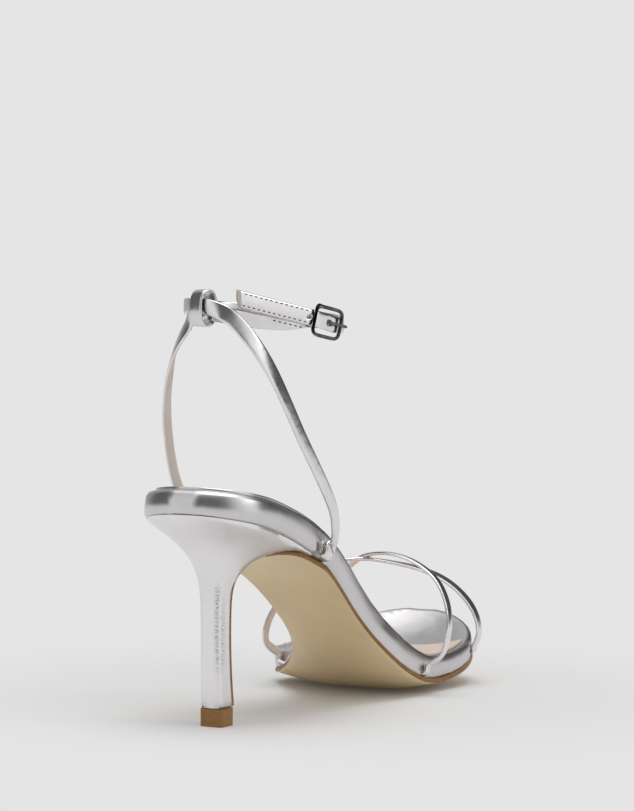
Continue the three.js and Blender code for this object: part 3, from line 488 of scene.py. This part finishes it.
nickel = plated("dark_nickel_plate", "#6e6964", "#4f4b47")
# Painted dark reflection: a near-black copy of the same plate, standing in for the dark reflection
# the bail shows.
painted_dark_reflection_plate = plated("near_black_painted_reflection", "#1d1b1b", "#100f0f")

buckle_rim = dressed("buckle_frame", "buckle_rim", nickel, levels=1, crease=0.2)
paint_faces(buckle_rim, painted_dark_reflection_plate, on_painted_dark_bail)
buckle_pin = dressed("buckle_prong", "buckle_pin", nickel, levels=1, crease=0.2)

# Floor, light and background: a pale paper sweep under soft boxes. The walls of the
# room are bright and dark by turns, and the foil mirrors them as its bands. The paper
# takes the shoe's shade near it and glows evenly beyond.

floor_side = 12.0
paper_glow = 0.783
shade_middle = (0.11, 0.0, 0.0)
near_shoe, far_from_shoe = 0.05, 0.22
near_glow = 0.03
low_wall_top = 0.08
ceiling_start, ceiling_full, ceiling_glow = 0.7, 0.97, 1.6
shoe_middle = Vector((0.06, 0, 0.06))

# Each stop is a share of a turn, from behind the heel by way of the outer side, and how
# bright the wall is there.
outer_walls = ((0.0, 0.10), (0.12, 0.12), (0.2, 0.8), (0.28, 1.1))
low_toe_walls = ((0.35, 1.0), (0.42, 0.5), (0.5, 0.5))
high_toe_walls = ((0.32, 0.07), (0.52, 0.07), (0.58, 0.5))
inner_walls = ((0.68, 0.4), (0.73, 0.12), (0.84, 0.12), (0.885, 0.9), (0.925, 0.9),
               (0.975, 0.10), (1.0, 0.10))

bpy.context.scene.view_settings.view_transform = "Standard"
bpy.ops.mesh.primitive_plane_add(size=floor_side, location=(0, 0, 0))
floor = bpy.context.active_object
floor.name = "floor"
paper = mottled(
    "pale_paper_floor", grey(0.757), grey(0.767), cloud={"scale": 6.0},
    shine={"Roughness": 0.9, "Specular IOR Level": 0.1})
paper_share = smooth_step(
    paper, distance_from(paper, object_place(paper), shade_middle),
    near_shoe, far_from_shoe, first=near_glow)
paper_far = add_node(paper, "ShaderNodeEmission", inputs={"Color": grey(paper_glow)})
paper_mix = add_node(paper, "ShaderNodeMixShader", inputs={
    0: paper_share, 1: shader_of(paper).outputs["BSDF"], 2: paper_far.outputs["Emission"]})
feed(paper, paper.node_tree.nodes["Material Output"], {"Surface": paper_mix.outputs["Shader"]})
floor.data.materials.append(paper)

world = bpy.data.worlds.new("studio")
bpy.context.scene.world = world
world.use_nodes = True
direction = add_node(world, "ShaderNodeTexCoord").outputs["Generated"]
parts = add_node(world, "ShaderNodeSeparateXYZ", inputs={"Vector": direction}).outputs
turn_share = add_node(world, "ShaderNodeMapRange", inputs={
    "Value": calculate(world, "ARCTAN2", parts["Y"], parts["X"]),
    "From Min": -math.pi, "From Max": math.pi}).outputs["Result"]


def walls(*stops):
    return colour_ramp(world, turn_share, [(share, grey(value)) for share, value in stops])


def mix_colours(owner, share, first, second):
    """The first colour where the share is 0 and the second where it is 1."""
    share_in, first_in, second_in, mixed_out = 0, 6, 7, 2
    return add_node(owner, "ShaderNodeMix", {"data_type": "RGBA"}, {
        share_in: share, first_in: first, second_in: second}).outputs[mixed_out]


all_walls = mix_colours(
    world, smooth_step(world, parts["Z"], 0.0, low_wall_top),
    walls(*outer_walls, *low_toe_walls, *inner_walls),
    walls(*outer_walls, *high_toe_walls, *inner_walls))
room = mix_colours(
    world, smooth_step(world, parts["Z"], ceiling_start, ceiling_full),
    all_walls, grey(ceiling_glow))
seen = add_node(world, "ShaderNodeLightPath").outputs["Is Camera Ray"]
feed(world, world.node_tree.nodes["Background"], {
    "Color": mix_colours(world, seen, room, grey(paper_glow))})


def soft_box(name, place, size, power):
    """A square soft light that looks at the shoe's middle."""
    data = bpy.data.lights.new(name, "AREA")
    data.size = size
    data.energy = power
    lamp = bpy.data.objects.new(name, data)
    bpy.context.scene.collection.objects.link(lamp)
    lamp.location = place
    aim = shoe_middle - Vector(place)
    lamp.rotation_euler = aim.to_track_quat("-Z", "Y").to_euler()


soft_box("top_light", place=(0.1, -0.1, 1.5), size=0.8, power=5)
soft_box("side_light", place=(0.25, -1.2, 0.95), size=0.6, power=1.4)
